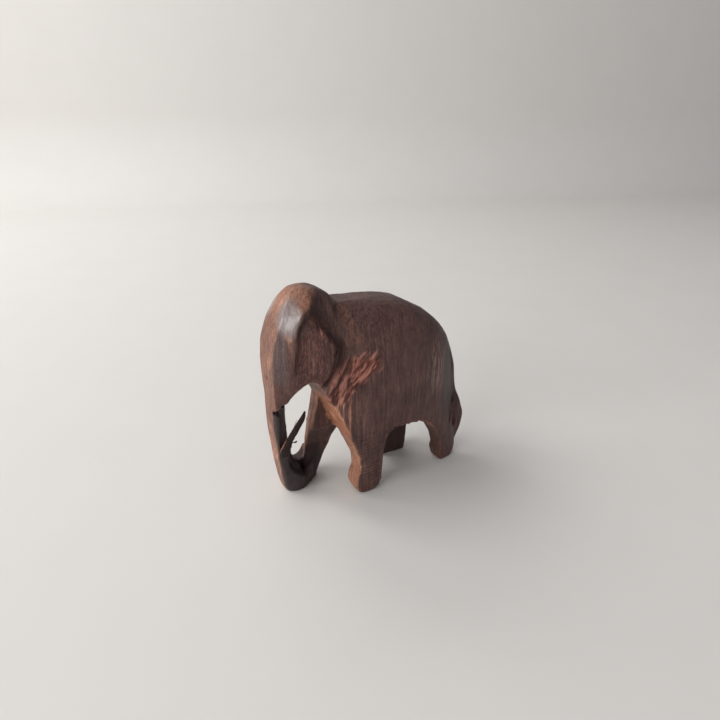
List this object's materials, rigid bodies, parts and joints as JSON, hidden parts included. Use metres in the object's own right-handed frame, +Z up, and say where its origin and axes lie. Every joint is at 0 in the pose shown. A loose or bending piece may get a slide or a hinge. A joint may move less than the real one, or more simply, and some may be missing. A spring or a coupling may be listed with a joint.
{
  "type": "carved wooden elephant figurine",
  "caption": "Small standing elephant hand carved from one block of dark wood, mid stride, trunk down to the forefoot, with a torn splinter on the trunk.",
  "frame": {"origin": "on the ground under the middle of the elephant's length and width", "axes": "+Z up, head towards -X, tail towards +X, left flank towards -Y"},
  "size_m": [0.0386, 0.0138, 0.0365],
  "materials": {
    "carved_wood": "hand-carved, waxed dark reddish-brown hardwood with knife facets and open pores",
    "torn_wood": "raw torn fibres"
  },
  "bodies": {
    "root": {"carved_block": "carved_wood", "trunk_splinter": "torn_wood"}
  },
  "joints": []
}
